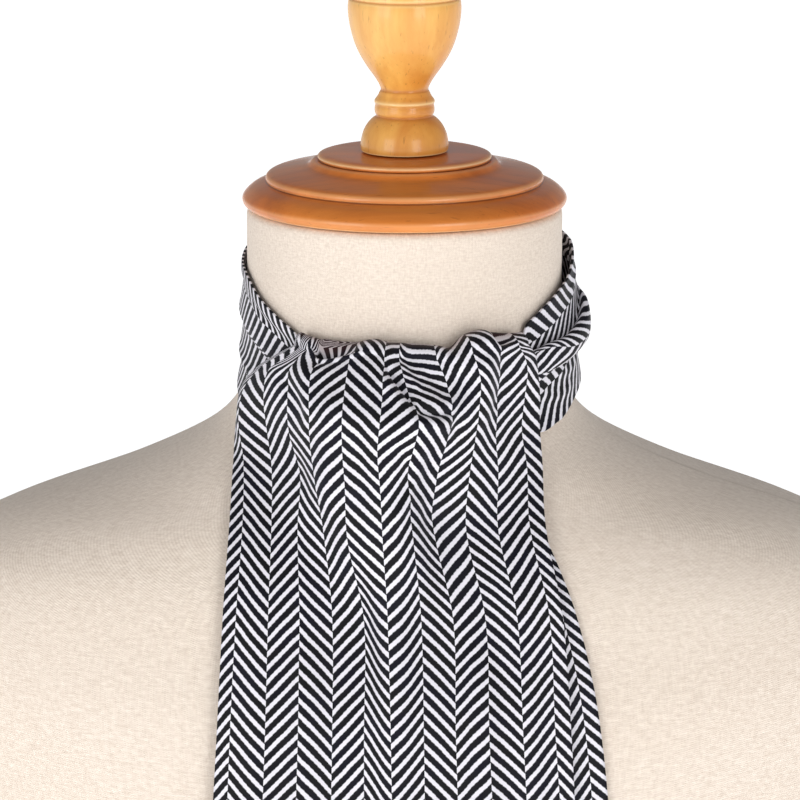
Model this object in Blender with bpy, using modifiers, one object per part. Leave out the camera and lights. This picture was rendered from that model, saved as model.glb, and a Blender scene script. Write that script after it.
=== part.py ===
"""A herringbone day cravat, tied loosely on a linen dress form with a turned wooden cap.

Metres, +Z up, front -Y. The origin is the centre of the form's flat base.
Tables are in millimetres; every row is one section, and each column has a name.
Angles round the neck run from the front (0) to the viewer's right (+90) and left (-90).
"""

import math

import bmesh
import bpy

MM = 0.001

# Driving sizes, in millimetres
WALL = 1.2
NECK_RADIUS = 60.9
NECK_TOP = 499.7
CAP_BASE = 500.0
COLUMN = 14.5  # width of one herringbone column; the blade is eleven columns wide
HALF_BLADE = 5.5
FRONT_BLADE_LENGTH = 330.0
UNDER_BLADE_LENGTH = 250.0
UNDER_BLADE_TOP = 407.0
POINT_SLOPE = math.tan(math.radians(50))
CREST_HEIGHT = 4.0
INNER_LEG_RADIUS = 62.1
INNER_LEG_BOTTOM = 437.0
FORM_CLEARANCE = 1.4
OVER_CLEARANCE = 4.2
BAND_PLEATS = 3
PLEAT_END_POWER = 6  # how late the pleats flatten towards a band's edges
ROLL_OPENING = 1.2  # how fast the panel folds into a roll as its share grows
# Rows of the hanging blade: the share spaced evenly, and how the rest closes up towards the crest
EVEN_SHARE = 0.35
SPACING_POWER = 1.8
# Below this height the hanging blade is kept clear of what lies under it
LIFT_TOP = 440
LIFT_FADE = 25
# Above this height the blade beneath stands further off the chest
UNDER_RISE = 1.2
UNDER_RISE_START = 385
UNDER_RISE_FADE = 20
# Mesh density
NECKBAND_AROUND = 19
LEFT_AROUND = 21
RIGHT_AROUND = 23
RIGHT_ACROSS = 30
UNDER_STEPS = 12
UNDER_ROWS = 16
RINGS_RAISED = 0.25  # how far the form's rings crowd towards its neck
MERGE_WITHIN = 0.0001
AT_POLE = 1e-6

# The dress form: half width, depth to the front and to the back at each height
FORM_COLUMNS = ("height", "half", "front", "back")
FORM_SECTIONS = (
    (0, 150, 103, 99),
    (50, 152, 105, 101),
    (110, 159, 110, 105),
    (180, 172, 115.5, 110),
    (240, 187, 115.5, 113),
    (285, 200, 109, 112),
    (320, 206.5, 101, 109),
    (345, 203, 92, 105),
    (365, 187, 84.5, 101),
    (380, 158, 77, 96),
    (395, 114, 69, 89),
    (410, 81, 63.8, 81.5),
    (424, 65.8, 61.4, 73.5),
    (440, 61.6, 60.9, 66.5),
    (456, 60.9, 60.9, 62.2),
    (475, 60.9, 60.9, 60.9),
    (499.7, 60.9, 60.9, 60.9),
)

# Lengthwise lines of the cloth, counted in herringbone columns from the middle of the blade
BLADE_LINES = (-5.5, -5, -4, -3, -2, -1, 0, 1, 2, 3, 4, 5, 5.5)
BLADE_HEIGHTS = (458, 452, 446, 436, 424, 410, 390, 360, 320, 260, 190, 126)
# Where each line lies across the figure, a row for each height
BLADE_ACROSS = (
    (-39, -38, -37, -34, -30, -20, -8, -1, 12, 25, 36, 42, 45),
    (-48, -47, -44, -40, -34, -21, -8, 0, 14, 27, 36, 45, 49),
    (-55, -54, -51, -44, -35, -22, -8, 2, 16, 28, 36, 46, 50),
    (-62, -61, -53, -44, -35, -23, -9, 5, 18, 27, 35, 45, 51),
    (-64, -63, -52, -43, -35, -23, -10, 3, 15, 26, 34, 44, 51),
    (-65, -61, -50, -39, -33, -22, -9, 1, 12, 24, 35, 46, 52),
    (-66, -61, -50, -40, -30, -21, -8, 3, 11, 23, 35, 47, 53),
    (-68, -63, -51, -39, -27, -15, -6, 6, 18, 30, 42, 54, 59),
    (-70, -65, -52, -39, -27, -15, -5, 7, 19, 31, 44, 56, 62),
    (-73, -67, -54, -41, -28, -15, -4, 8, 21, 34, 47, 60, 65),
    (-74, -68, -55, -41, -28, -15, -2, 11, 24, 37, 50, 63, 69),
    (-74, -68, -55, -41, -28, -15, -2, 11, 24, 37, 50, 63, 69),
)
# How far each line stands in front of the neck's axis
BLADE_FORWARD = (
    (55.5, 56.0, 57.0, 59.0, 62.0, 68.5, 72.5, 69.5, 69.5, 70.0, 64.0, 57.5, 54.0),
    (50.5, 52.0, 55.0, 59.0, 67.0, 74.0, 79.0, 75.0, 73.0, 72.0, 64.0, 55.0, 49.5),
    (43.0, 45.0, 50.0, 60.0, 70.0, 78.0, 84.0, 81.0, 76.0, 72.5, 64.0, 54.5, 50.0),
    (35.0, 39.5, 51.0, 62.5, 75.0, 84.0, 91.0, 91.5, 83.5, 74.0, 63.0, 53.5, 49.0),
    (33.0, 39.5, 51.0, 62.5, 74.0, 85.0, 92.5, 91.0, 81.0, 72.5, 63.5, 55.0, 50.0),
    (39.0, 46.0, 57.0, 67.0, 78.0, 88.0, 95.0, 89.5, 79.0, 72.0, 65.0, 58.5, 54.0),
    (52.0, 58.0, 66.5, 73.0, 79.5, 90.0, 98.0, 93.0, 80.5, 75.0, 70.0, 64.0, 59.0),
    (74.0, 77.0, 82.0, 85.5, 88.0, 91.5, 101.0, 95.5, 89.0, 86.0, 82.0, 78.0, 75.0),
    (90.0, 93.0, 98.0, 102.0, 105.0, 107.0, 112.0, 109.0, 105.5, 103.0, 98.5, 93.5, 90.5),
    (104.0, 107.0, 112.0, 116.0, 119.0, 121.0, 124.5, 122.5, 120.0, 117.0, 112.5, 107.5, 104.5),
    (106.0, 109.0, 113.5, 117.5, 120.0, 121.0, 122.5, 121.5, 120.0, 117.5, 113.5, 109.0, 106.0),
    (101.0, 104.0, 108.0, 112.0, 114.0, 115.0, 116.0, 115.5, 114.0, 112.0, 108.0, 104.0, 101.0),
)
# Height of the fold over the neck's band, along the same lines, with the low point of the dimple
CREST_COLUMNS = ("line", "height")
CREST = (
    (-5.5, 460.5),
    (-4, 460.0),
    (-2, 459.0),
    (-1, 459.5),
    (-0.4, 461.0),
    (0.2, 460.0),
    (1, 459.5),
    (2, 458.5),
    (2.4, 457.5),
    (3, 462.0),
    (3.5, 463.5),
    (4, 462.0),
    (5, 460.5),
    (5.5, 460.0),
)
# Long soft folds of the hanging part: line, top and bottom height, half width in columns, rise
BLADE_FOLDS = (
    (-4.4, 408, 165, 0.75, 6.5),
    (-2.8, 372, 205, 0.65, 4.5),
    (2.9, 372, 185, 0.65, 5.0),
    (4.35, 412, 150, 0.75, 7.0),
    (0.3, 300, 140, 0.9, 3.0),
)

# Bands round the neck: top and bottom edge, stand-off of the wall, depth and overlap of the pleats
BAND_COLUMNS = ("angle", "top", "bottom", "stand", "depth", "overlap")
NECKBAND = (
    (99, 484.5, 438.0, 4.3, 0.5, 1.6),
    (120, 488.0, 440.5, 3.4, 0.7, 2.0),
    (150, 492.0, 444.5, 2.4, 0.8, 2.2),
    (180, 494.0, 447.0, 1.9, 0.8, 2.2),
    (210, 492.0, 444.5, 1.8, 0.8, 2.2),
    (235, 487.5, 440.0, 1.7, 0.75, 2.2),
    (252, 482.5, 436.0, 1.7, 0.7, 2.0),
)
LEFT_STRETCH = (
    (-107.7, 482.5, 436.0, 1.7, 0.7, 2.0),
    (-90, 479.0, 431.5, 1.7, 0.7, 2.0),
    (-75, 476.0, 427.5, 1.7, 0.7, 2.0),
    (-60, 469.0, 424.0, 2.0, 0.7, 1.8),
    (-48, 463.5, 420.5, 2.1, 0.6, 1.4),
    (-40.5, 459.5, 417.0, 2.3, 0.4, 0.6),
    (-35.5, 453.0, 416.0, 3.1, 0.3, 0.2),
    (-30, 451.0, 415.0, 3.1, 0.3, 0.2),
    (0, 449.5, 414.0, 3.1, 0.2, 0.0),
    (20, 449.5, 414.0, 3.1, 0.2, 0.0),
)
# The other end of the strip: its roll swells outwards; share is how much of the profile below it has
RIGHT_COLUMNS = ("angle", "top", "bottom", "stand", "share")
RIGHT_STRETCH = (
    (-30, 451.0, 413.0, 5.0, 0.0),
    (0, 451.0, 413.0, 5.0, 0.0),
    (25, 451.5, 415.0, 4.7, 0.05),
    (35, 452.5, 418.5, 3.4, 0.2),
    (42.5, 453.5, 420.5, 2.8, 0.42),
    (46.5, 462.0, 421.0, 2.6, 0.56),
    (50, 464.0, 421.0, 2.6, 0.64),
    (55, 466.5, 422.5, 2.6, 0.72),
    (60, 468.5, 424.0, 2.6, 0.82),
    (70, 472.0, 428.5, 2.7, 0.97),
    (77, 474.0, 431.5, 3.1, 1.0),
    (85, 478.5, 434.5, 3.9, 0.72),
    (92, 482.0, 436.5, 4.3, 0.35),
    (98.7, 484.5, 438.0, 4.3, 0.05),
)
# One section of the roll, from the top edge down: share of the height, and how far out
ROLL_COLUMNS = ("down", "out")
ROLL_PROFILE = (
    (0.000, 0.0),
    (0.090, 0.5),
    (0.180, 1.0),
    (0.270, 1.5),
    (0.335, 2.6),
    (0.315, 4.6),
    (0.278, 6.2),
    (0.300, 8.0),
    (0.380, 8.9),
    (0.480, 8.5),
    (0.570, 7.0),
    (0.595, 5.2),
    (0.560, 3.6),
    (0.575, 2.1),
    (0.650, 1.6),
    (0.780, 2.2),
    (0.890, 2.7),
    (1.000, 3.0),
)
# Rows of the section where each edge of the roll starts, is whole, starts to end and ends
ROLL_UPPER_EDGE = (3, 5.5, 8, 11)
ROLL_LOWER_EDGE = (8, 11, 13, 16)
# How far the roll's upper and lower edge are raised round the neck
ROLL_RAISE_COLUMNS = ("angle", "upper", "lower")
ROLL_RAISE = (
    (46, 2.5, 3.0),
    (52, 1.0, 3.5),
    (56, -0.5, 3.5),
    (65, -3.0, 3.0),
    (75, -2.5, 2.0),
    (85, -1.0, 1.0),
    (98.7, 0.0, 0.0),
)

# The blade underneath: middle and half width at each height
UNDER_COLUMNS = ("height", "middle", "half")
UNDER_BLADE = (
    (410, 2, 38),
    (390, 4, 47),
    (360, 7, 57),
    (320, 9, 64),
    (260, 10, 68),
    (160, 10, 70),
    (100, 10, 70),
)

# Turned wood, down the outer side: radius and height above the cap's base
CAP_PROFILE = (
    (0, 20.9),
    (28.5, 20.9),
    (32.4, 20.5),
    (33.6, 19.7),
    (33.4, 18.7),
    (32.6, 17.9),
    (34.4, 18.3),
    (35.7, 17.9),
    (36.8, 16.4),
    (38.5, 15.5),
    (50.5, 13.4),
    (52.8, 12.6),
    (53.6, 11.6),
    (53.5, 10.3),
    (53.0, 9.8),
    (55.0, 9.4),
    (58.5, 8.1),
    (61.0, 6.1),
    (62.4, 4.4),
    (62.7, 3.0),
    (62.0, 1.3),
    (60.0, 0.0),
    (0, 0.0),
)
FINIAL_PROFILE = (
    (0, 115.0),
    (4.2, 114.6),
    (7.6, 112.9),
    (9.4, 110.4),
    (9.6, 108.2),
    (9.1, 106.3),
    (10.6, 103.8),
    (14.4, 99.2),
    (18.0, 93.0),
    (20.4, 87.0),
    (21.4, 81.4),
    (20.9, 80.6),
    (21.6, 79.8),
    (21.9, 76.0),
    (21.1, 69.5),
    (18.8, 61.6),
    (15.1, 55.0),
    (10.9, 49.3),
    (8.9, 45.5),
    (9.7, 44.3),
    (10.3, 42.8),
    (11.9, 40.8),
    (11.2, 39.6),
    (11.6, 38.2),
    (11.5, 36.3),
    (10.7, 35.1),
    (12.6, 34.0),
    (14.7, 31.6),
    (16.3, 28.4),
    (17.0, 24.6),
    (16.9, 22.2),
    (16.4, 21.2),
    (0, 21.2),
)

# Divisions of the meshes
FORM_AROUND = 42
FORM_RINGS = 30
TURNED_STEPS = 28
BAND_ACROSS = 26
ARC_STEPS = 6
INNER_STEPS = 3
HANG_STEPS = 26
BLADE_STEPS = 29


def column(rows, names, name):
    """One named column of a table."""
    place = names.index(name)
    return [row[place] for row in rows]


def smooth(x, xs, ys):
    """A smooth curve through (xs, ys), held level beyond both ends."""
    if xs[0] > xs[-1]:
        xs = xs[::-1]
        ys = ys[::-1]
    if x <= xs[0]:
        return ys[0]
    if x >= xs[-1]:
        return ys[-1]
    i = max(k for k in range(len(xs) - 1) if xs[k] <= x)
    slopes = []
    for k in (i, i + 1):
        before = max(k - 1, 0)
        after = min(k + 1, len(xs) - 1)
        slopes.append((ys[after] - ys[before]) / (xs[after] - xs[before]))
    step = xs[i + 1] - xs[i]
    t = (x - xs[i]) / step
    start = (2 * t**3 - 3 * t**2 + 1) * ys[i] + (t**3 - 2 * t**2 + t) * step * slopes[0]
    end = (3 * t**2 - 2 * t**3) * ys[i + 1] + (t**3 - t**2) * step * slopes[1]
    return start + end


def ease(t):
    """0 to 1 with level ends."""
    t = min(max(t, 0.0), 1.0)
    return t * t * (3 - 2 * t)


def within(place, rows):
    """1 on the middle rows of a stretch, easing to 0 at its first and last row."""
    starts, whole, ending, ends = rows
    return ease((place - starts) / (whole - starts)) * ease((ends - place) / (ends - ending))


def read(rows, names, key, x, name):
    """A named column at x, read along the key column."""
    return smooth(x, column(rows, names, key), column(rows, names, name))


def form_size(height, name):
    return read(FORM_SECTIONS, FORM_COLUMNS, "height", height, name)


def form_forward(across, height):
    """How far the form's chest stands in front of the neck's axis."""
    share = min(abs(across) / form_size(height, "half"), 0.999)
    return form_size(height, "front") * math.sqrt(1 - share * share)


def form_radius(angle, height):
    """Distance from the neck's axis to the form's skin, at an angle from the front."""
    depth = form_size(height, "front" if math.cos(angle) > 0 else "back")
    half = form_size(height, "half")
    return 1 / math.hypot(math.sin(angle) / half, math.cos(angle) / depth)


def at_least(value, floor, blend=2.5):
    """The larger of two lengths, rounded where they meet."""
    gap = value - floor
    return floor + 0.5 * (gap + math.sqrt(gap * gap + blend * blend))


def round_neck(angle, radius, height):
    return (radius * math.sin(angle), -radius * math.cos(angle), height)


def blade_at(line, height, table):
    """A table of the blade's lines at any line and height."""
    across = [smooth(height, BLADE_HEIGHTS, column(table, BLADE_LINES, name)) for name in BLADE_LINES]
    return smooth(line, BLADE_LINES, across)


def fold_rise(line, height):
    """Forward swell of the long soft folds at a point of the hanging cloth."""
    rise = 0.0
    for fold_line, top, bottom, half, peak in BLADE_FOLDS:
        aside = (line - fold_line) / half
        along = (top - height) / (top - bottom)
        if 0 < along < 1:
            rise += peak * math.exp(-aside * aside) * ease(along * 5) * ease((1 - along) * 2)
    return rise


def blade_end(line, length):
    """Length of a line of the blade, shorter towards the sides of its point."""
    return length - abs(line) * COLUMN / POINT_SLOPE


def front_blade(across, down):
    """The blade on top: up inside the band, over the crest, and down the chest to its point."""
    line = across * HALF_BLADE
    crest = read(CREST, CREST_COLUMNS, "line", line, "height") - CREST_HEIGHT
    x = blade_at(line, crest, BLADE_ACROSS)
    forward = blade_at(line, crest, BLADE_FORWARD)
    angle = math.atan2(x, forward)
    outer = math.hypot(x, forward)
    step = down * (INNER_STEPS + ARC_STEPS + HANG_STEPS)
    if step <= INNER_STEPS:
        height = INNER_LEG_BOTTOM + (crest - INNER_LEG_BOTTOM) * step / INNER_STEPS
        radius = max(INNER_LEG_RADIUS, form_radius(angle, height) + WALL)
        return round_neck(angle, radius, height)
    if step <= INNER_STEPS + ARC_STEPS:
        turn = math.pi * (step - INNER_STEPS) / ARC_STEPS
        middle = (outer + INNER_LEG_RADIUS) / 2
        reach = (outer - INNER_LEG_RADIUS) / 2
        height = crest + CREST_HEIGHT * math.sin(turn)
        return round_neck(angle, middle - reach * math.cos(turn), height)
    fall = (step - INNER_STEPS - ARC_STEPS) / HANG_STEPS
    end = BLADE_HEIGHTS[0] - blade_end(line, FRONT_BLADE_LENGTH)
    spaced = EVEN_SHARE * fall + (1 - EVEN_SHARE) * fall**SPACING_POWER
    height = crest + (end - crest) * spaced
    x = blade_at(line, height, BLADE_ACROSS)
    forward = blade_at(line, height, BLADE_FORWARD) + fold_rise(line, height)
    if height < LIFT_TOP:
        lift = ease((LIFT_TOP - height) / LIFT_FADE)
        floor = form_forward(x, height) + OVER_CLEARANCE
        forward += lift * (at_least(forward, floor) - forward)
    return (x, -forward, height)


def under_blade(across, down):
    """The other end of the strip, lying on the chest below the crossing."""
    line = across * HALF_BLADE
    height = UNDER_BLADE_TOP - blade_end(line, UNDER_BLADE_LENGTH) * down
    half = read(UNDER_BLADE, UNDER_COLUMNS, "height", height, "half")
    middle = read(UNDER_BLADE, UNDER_COLUMNS, "height", height, "middle")
    x = middle + across * half
    rise = UNDER_RISE * ease((height - UNDER_RISE_START) / UNDER_RISE_FADE)
    forward = form_forward(x, height) + FORM_CLEARANCE + rise
    return (x, -forward, height)


def pleated_band(rows, pleats):
    """A mapping for a band round the neck whose folds overlap like shingles, facing down."""

    def place(across, down):
        first = rows[0][0]
        last = rows[-1][0]
        degrees = first + (last - first) * (across + 1) / 2
        angle = math.radians(degrees)
        top = read(rows, BAND_COLUMNS, "angle", degrees, "top")
        bottom = read(rows, BAND_COLUMNS, "angle", degrees, "bottom")
        depth = read(rows, BAND_COLUMNS, "angle", degrees, "depth")
        overlap = read(rows, BAND_COLUMNS, "angle", degrees, "overlap")
        turn = 2 * math.pi * pleats * down - math.pi / 2
        swing = -math.sin(turn) * (1 - abs(2 * down - 1) ** PLEAT_END_POWER)
        height = top - (top - bottom) * down - overlap * swing
        stand = read(rows, BAND_COLUMNS, "angle", degrees, "stand") + depth * swing
        radius = max(NECK_RADIUS, form_radius(angle, height)) + stand
        return round_neck(angle, radius, height)

    return place


def right_stretch(across, down):
    """The strip's other stretch: an upper panel, a roll folded outwards over it, and a panel below."""
    first = RIGHT_STRETCH[0][0]
    last = RIGHT_STRETCH[-1][0]
    degrees = first + (last - first) * (across + 1) / 2
    angle = math.radians(degrees)
    top = read(RIGHT_STRETCH, RIGHT_COLUMNS, "angle", degrees, "top")
    bottom = read(RIGHT_STRETCH, RIGHT_COLUMNS, "angle", degrees, "bottom")
    stand = read(RIGHT_STRETCH, RIGHT_COLUMNS, "angle", degrees, "stand")
    share = read(RIGHT_STRETCH, RIGHT_COLUMNS, "angle", degrees, "share")
    place = down * (len(ROLL_PROFILE) - 1)
    steps = list(range(len(ROLL_PROFILE)))
    low = smooth(place, steps, column(ROLL_PROFILE, ROLL_COLUMNS, "down"))
    out = smooth(place, steps, column(ROLL_PROFILE, ROLL_COLUMNS, "out"))
    folded = ease(share * ROLL_OPENING)
    low = down + (low - down) * folded
    upper = within(place, ROLL_UPPER_EDGE)
    lower = within(place, ROLL_LOWER_EDGE)
    raised = upper * read(ROLL_RAISE, ROLL_RAISE_COLUMNS, "angle", degrees, "upper")
    raised += lower * read(ROLL_RAISE, ROLL_RAISE_COLUMNS, "angle", degrees, "lower")
    height = top - (top - bottom) * low + raised * folded
    radius = max(NECK_RADIUS, form_radius(angle, height)) + stand + out * share
    return round_neck(angle, radius, height)


def material(name, colour, roughness, sheen=0.0, coat=0.0):
    made = bpy.data.materials.new(name)
    made.use_nodes = True
    shader = made.node_tree.nodes["Principled BSDF"]
    shader.inputs["Base Color"].default_value = (*colour, 1)
    shader.inputs["Roughness"].default_value = roughness
    shader.inputs["Sheen Weight"].default_value = sheen
    shader.inputs["Coat Weight"].default_value = coat
    made.diffuse_color = (*colour, 1)
    return made


def put(name, mesh, look, collection):
    obj = bpy.data.objects.new(name, mesh)
    mesh.materials.append(look)
    mesh.polygons.foreach_set("use_smooth", [True] * len(mesh.polygons))
    collection.objects.link(obj)
    return obj


def cloth(name, place, across_steps, down_steps, look, collection):
    """A wall of cloth: a flat grid laid where the mapping says, then given its thickness."""
    shape = bmesh.new()
    bmesh.ops.create_grid(shape, x_segments=across_steps, y_segments=down_steps, size=1)
    for vertex in shape.verts:
        point = place(vertex.co.x, (1 - vertex.co.y) / 2)
        vertex.co = [length * MM for length in point]
    mesh = bpy.data.meshes.new(name)
    shape.to_mesh(mesh)
    shape.free()
    obj = put(name, mesh, look, collection)
    wall = obj.modifiers.new("Wall", "SOLIDIFY")
    wall.thickness = WALL * MM
    wall.offset = 0
    wall.use_even_offset = True
    return obj


def turned(name, profile, base, look, collection):
    """A solid turned on the neck's axis from half of its outline."""
    mesh = bpy.data.meshes.new(name)
    points = [(radius * MM, 0, (base + height) * MM) for radius, height in profile]
    mesh.from_pydata(points, [(i, i + 1) for i in range(len(points) - 1)], [])
    obj = put(name, mesh, look, collection)
    spin = obj.modifiers.new("Turn", "SCREW")
    spin.steps = TURNED_STEPS
    spin.render_steps = TURNED_STEPS
    spin.use_merge_vertices = True
    spin.merge_threshold = MERGE_WITHIN
    spin.use_smooth_shade = True
    return obj


def dress_form(name, look, collection):
    """The form: a ball whose rings are laid on the sections, with its poles as flat ends."""
    shape = bmesh.new()
    bmesh.ops.create_uvsphere(shape, u_segments=FORM_AROUND, v_segments=FORM_RINGS, radius=1)
    for vertex in shape.verts:
        ring = (1 - math.acos(min(max(vertex.co.z, -1), 1)) / math.pi) * FORM_RINGS
        share = min(max((ring - 1) / (FORM_RINGS - 2), 0.0), 1.0)
        height = NECK_TOP * (share + RINGS_RAISED * (1 - share) * share)
        if math.hypot(vertex.co.x, vertex.co.y) < AT_POLE:
            vertex.co = (0, 0, height * MM)
            continue
        angle = math.atan2(vertex.co.y, vertex.co.x)
        depth = form_size(height, "back" if math.sin(angle) > 0 else "front")
        x = form_size(height, "half") * math.cos(angle)
        vertex.co = (x * MM, depth * math.sin(angle) * MM, height * MM)
    mesh = bpy.data.meshes.new(name)
    shape.to_mesh(mesh)
    shape.free()
    return put(name, mesh, look, collection)


def main():
    for obj in list(bpy.data.objects):
        bpy.data.objects.remove(obj, do_unlink=True)
    collection = bpy.data.collections.new("cravat_on_dress_form")
    bpy.context.scene.collection.children.link(collection)
    linen = material("form_linen", (0.86, 0.80, 0.71), 0.9, sheen=0.3)
    wood = material("turned_wood", (0.78, 0.36, 0.11), 0.3, coat=0.5)
    weave = material("cravat_cloth", (0.22, 0.22, 0.25), 0.5, sheen=0.4)
    dress_form("form_torso", linen, collection)
    turned("neck_cap", CAP_PROFILE, CAP_BASE, wood, collection)
    turned("finial", FINIAL_PROFILE, CAP_BASE, wood, collection)
    neckband = pleated_band(NECKBAND, BAND_PLEATS)
    left_stretch = pleated_band(LEFT_STRETCH, BAND_PLEATS)
    cloth("neckband", neckband, NECKBAND_AROUND, BAND_ACROSS, weave, collection)
    cloth("left_stretch", left_stretch, LEFT_AROUND, BAND_ACROSS, weave, collection)
    cloth("right_stretch", right_stretch, RIGHT_AROUND, RIGHT_ACROSS, weave, collection)
    cloth("under_blade", under_blade, UNDER_STEPS, UNDER_ROWS, weave, collection)
    down_steps = INNER_STEPS + ARC_STEPS + HANG_STEPS
    cloth("front_blade", front_blade, BLADE_STEPS, down_steps, weave, collection)


main()
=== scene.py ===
"""Looks of the herringbone day cravat on its linen dress form with a turned wooden cap.

Blender 4.5. Lengths in the tables are millimetres, heights are above the form's base, +Z up, front -Y.
Each cloth piece is a thin shell on the form of its own solid: the same sections, made finer, with the
creases added. Angles round the neck run from the front (0) to the viewer's right (+90) and left (-90).
"""

import math

import bpy
import numpy as np
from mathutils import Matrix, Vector


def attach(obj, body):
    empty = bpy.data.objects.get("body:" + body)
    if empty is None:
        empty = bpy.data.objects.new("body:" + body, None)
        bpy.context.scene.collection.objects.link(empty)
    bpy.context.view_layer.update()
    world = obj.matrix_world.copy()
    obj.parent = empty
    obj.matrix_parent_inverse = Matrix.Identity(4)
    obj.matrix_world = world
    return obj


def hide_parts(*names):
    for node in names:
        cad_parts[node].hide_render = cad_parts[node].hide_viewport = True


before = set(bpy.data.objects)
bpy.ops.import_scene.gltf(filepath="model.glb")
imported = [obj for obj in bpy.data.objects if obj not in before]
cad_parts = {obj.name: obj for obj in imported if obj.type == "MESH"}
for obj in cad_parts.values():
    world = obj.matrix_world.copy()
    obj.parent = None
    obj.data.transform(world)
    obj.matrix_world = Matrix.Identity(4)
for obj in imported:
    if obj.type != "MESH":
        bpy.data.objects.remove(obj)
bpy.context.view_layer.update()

MM = 0.001

# Driving sizes, as in the model
SHELL = 0.9  # thickness of the cloth that shows
WALL = 1.2
NECK_RADIUS = 60.9
NECK_TOP = 499.7
CAP_BASE = 500.0
COLUMN = 14.5  # width of one herringbone column
HALF_BLADE = 5.5
FRONT_BLADE_LENGTH = 330.0
UNDER_BLADE_LENGTH = 250.0
UNDER_BLADE_TOP = 407.0
POINT_SLOPE = math.tan(math.radians(50))
CREST_HEIGHT = 4.0
INNER_LEG_RADIUS = 62.1
INNER_LEG_BOTTOM = 437.0
FORM_CLEARANCE = 1.4
OVER_CLEARANCE = 4.2
BAND_PLEATS = 3
PLEAT_END_POWER = 6  # how late the pleats flatten towards a band's edges
ROLL_OPENING = 1.2  # how fast the panel folds into a roll as its share grows
# Rows of the hanging blade: the share spaced evenly, and how the rest closes up towards the crest
EVEN_SHARE = 0.35
SPACING_POWER = 1.8
# Below this height the hanging blade is kept clear of what lies under it
LIFT_TOP = 440
LIFT_FADE = 25
# Above this height the blade beneath stands further off the chest
UNDER_RISE = 1.2
UNDER_RISE_START = 385
UNDER_RISE_FADE = 20

# How far off the neck each length of the cloth laid flat is measured
WEAVE_OFF_NECK = 3.0

# Mesh density
INNER_ROWS = 8
ARC_ROWS = 48
HANG_ROWS = 216
BLADE_STEPS = 160
UNDER_ROWS = 150
UNDER_STEPS = 90
BAND_ROWS = 120
NECKBAND_STEPS = 230
LEFT_STEPS = 210
RIGHT_ROWS = 180
RIGHT_STEPS = 220
CREASE_STEPS = 20
TURNED_AROUND = 160
FORM_AROUND = 192
CREST_ROW = INNER_ROWS + ARC_ROWS // 2

# The weave: stripes this far apart down the cloth, falling this many stripes across one column
STRIPE_PITCH = 5.3
STRIPES_PER_COLUMN = 2.5
DARK_SHARE = 0.6

# The photograph's view of it
VIEW_TARGET = (-1.755, 0, 422.75)
VIEW_DISTANCE = 1700
VIEW_DOWN = math.radians(13)
LENS = 196.15

FORM_COLUMNS = ("height", "half", "front", "back")
FORM_SECTIONS = (
    (0, 150, 103, 99),
    (50, 152, 105, 101),
    (110, 159, 110, 105),
    (180, 172, 115.5, 110),
    (240, 187, 115.5, 113),
    (285, 200, 109, 112),
    (320, 206.5, 101, 109),
    (345, 203, 92, 105),
    (365, 187, 84.5, 101),
    (380, 158, 77, 96),
    (395, 114, 69, 89),
    (410, 81, 63.8, 81.5),
    (424, 65.8, 61.4, 73.5),
    (440, 61.6, 60.9, 66.5),
    (456, 60.9, 60.9, 62.2),
    (475, 60.9, 60.9, 60.9),
    (499.7, 60.9, 60.9, 60.9),
)

# Lengthwise lines of the cloth, counted in herringbone columns from the middle of the blade
BLADE_LINES = (-5.5, -5, -4, -3, -2, -1, 0, 1, 2, 3, 4, 5, 5.5)
BLADE_HEIGHTS = (458, 452, 446, 436, 424, 410, 390, 360, 320, 260, 190, 126)
# Where each line lies across the figure, a row for each height
BLADE_ACROSS = (
    (-39, -38, -37, -34, -30, -20, -8, -1, 12, 25, 36, 42, 45),
    (-48, -47, -44, -40, -34, -21, -8, 0, 14, 27, 36, 45, 49),
    (-55, -54, -51, -44, -35, -22, -8, 2, 16, 28, 36, 46, 50),
    (-62, -61, -53, -44, -35, -23, -9, 5, 18, 27, 35, 45, 51),
    (-64, -63, -52, -43, -35, -23, -10, 3, 15, 26, 34, 44, 51),
    (-65, -61, -50, -39, -33, -22, -9, 1, 12, 24, 35, 46, 52),
    (-66, -61, -50, -40, -30, -21, -8, 3, 11, 23, 35, 47, 53),
    (-68, -63, -51, -39, -27, -15, -6, 6, 18, 30, 42, 54, 59),
    (-70, -65, -52, -39, -27, -15, -5, 7, 19, 31, 44, 56, 62),
    (-73, -67, -54, -41, -28, -15, -4, 8, 21, 34, 47, 60, 65),
    (-74, -68, -55, -41, -28, -15, -2, 11, 24, 37, 50, 63, 69),
    (-74, -68, -55, -41, -28, -15, -2, 11, 24, 37, 50, 63, 69),
)
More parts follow.
